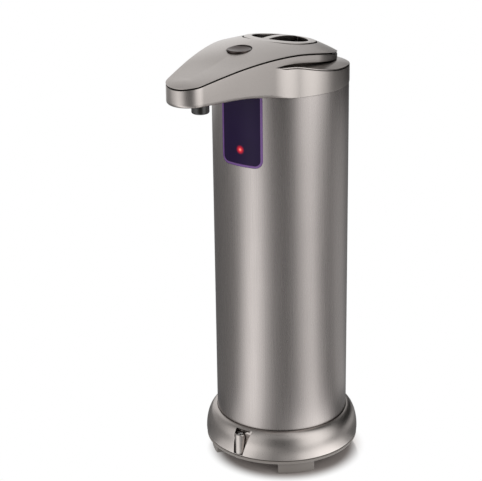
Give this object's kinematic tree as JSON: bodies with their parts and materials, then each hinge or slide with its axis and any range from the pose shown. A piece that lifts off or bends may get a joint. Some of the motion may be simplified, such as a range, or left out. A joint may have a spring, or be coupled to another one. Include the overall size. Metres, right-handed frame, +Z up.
{
  "type": "automatic soap dispenser",
  "caption": "Touch-free countertop soap dispenser: steel column on a round foot, beak-shaped head with refill cap, button and nozzle, sensor window, and a gear pump inside.",
  "frame": {"origin": "under the middle of the bounding box, on the surface that the feet stand on", "axes": "+Z up, -Y towards the nozzle, +X to the right seen from the front"},
  "size_m": [0.0752, 0.1156, 0.2102],
  "materials": {
    "steel_tube": "satin stainless steel with a warm champagne cast",
    "satin_nickel": "plastic moulding painted satin champagne nickel",
    "black_gloss": "gloss black",
    "dark_plastic": "matt dark grey moulding",
    "foot_plastic": "matt grey moulding",
    "violet_window": "dark violet infrared window",
    "purple_rim": "purple rim of the window",
    "red_lamp": "red indicator lamp",
    "clear_plastic": "translucent natural plastic",
    "clear_hose": "translucent silicone hose",
    "seal_rubber": "dark grey seal rubber",
    "white_plastic": "white moulding",
    "plain_steel": "plain bright steel",
    "brass": "bare brass",
    "board_green": "green circuit board",
    "battery_wrap": "plain blue battery sleeve"
  },
  "bodies": {
    "column": {"body_tube": "steel_tube", "head_casing": "satin_nickel", "collar_deck": "satin_nickel", "top_cover": "satin_nickel", "base_ring": "satin_nickel", "nozzle": "black_gloss", "button_switch": "black_gloss", "ir_receiver": "black_gloss", "gear_plate": "dark_plastic", "pump_housing": "dark_plastic", "pump_cover": "dark_plastic", "battery_holder": "dark_plastic", "sensor_cable": "dark_plastic", "sensor_window": "violet_window", "ir_emitter": "violet_window", "window_bezel": "purple_rim", "status_led": "red_lamp", "reservoir": "clear_plastic", "outlet_hose": "clear_hose", "inlet_tube": "clear_hose", "reservoir_gasket": "seal_rubber", "nozzle_valve": "seal_rubber", "base_gasket": "seal_rubber", "reservoir_lid": "white_plastic", "cover_screw": "plain_steel", "motor": "plain_steel", "pump_screw_1": "plain_steel", "pump_screw_2": "plain_steel", "battery_contact_1": "brass", "battery_contact_2": "brass", "battery_contact_3": "brass", "battery_contact_4": "brass", "head_board": "board_green", "sensor_board": "board_green", "control_board": "board_green", "battery_1": "battery_wrap", "battery_2": "battery_wrap", "battery_3": "battery_wrap", "battery_4": "battery_wrap"},
    "cap_ring": {"cap_seal": "seal_rubber"},
    "cap": {"filler_cap": "satin_nickel"},
    "push_button": {"button": "satin_nickel", "button_stem": "black_gloss"},
    "pinion": {"motor_pinion": "brass"},
    "drive_shaft": {"reduction_gear": "white_plastic", "pump_shaft": "plain_steel", "pump_drive_gear": "white_plastic"},
    "pump_idler": {"pump_driven_gear": "white_plastic"},
    "cover": {"bottom_cover": "foot_plastic", "cover_contact": "brass", "foot_front_right": "foot_plastic", "foot_front_left": "foot_plastic", "foot_rear_right": "foot_plastic", "foot_rear_left": "foot_plastic"}
  },
  "joints": [
    {"name": "cap_lift", "type": "slide", "parent": "column", "child": "cap_ring", "axis": [0, 0.1374, 0.9905], "range_m": [0, 0.03]},
    {"name": "cap_turn", "type": "hinge", "parent": "cap_ring", "child": "cap", "pos_m": [0, 0.0202, 0.2073], "axis": [0, 0.1374, 0.9905], "range_deg": [0, 90]},
    {"name": "button_press", "type": "slide", "parent": "column", "child": "push_button", "axis": [0, 0, -1], "range_m": [0, 0.0008], "stiffness_N_per_m": 1500, "springref_m": -0.0004},
    {"name": "drive_shaft_spin", "type": "hinge", "parent": "column", "child": "drive_shaft", "pos_m": [0.006, 0.0036, 0.031], "axis": [0, 0, 1], "continuous": true},
    {"name": "motor_pinion_spin", "type": "hinge", "parent": "column", "child": "pinion", "pos_m": [-0.0076, 0.0036, 0.031], "axis": [0, 0, 1], "continuous": true},
    {"name": "pump_idler_spin", "type": "hinge", "parent": "column", "child": "pump_idler", "pos_m": [0.01491, 0.01251, 0.038], "axis": [0, 0, 1], "continuous": true},
    {"name": "cover_drop", "type": "slide", "parent": "column", "child": "cover", "axis": [0, 0, -1], "range_m": [0, 0.03]}
  ],
  "couplings": [
    {"joint": "motor_pinion_spin", "follows": "drive_shaft_spin", "ratio": -2.4},
    {"joint": "pump_idler_spin", "follows": "drive_shaft_spin", "ratio": -1}
  ]
}
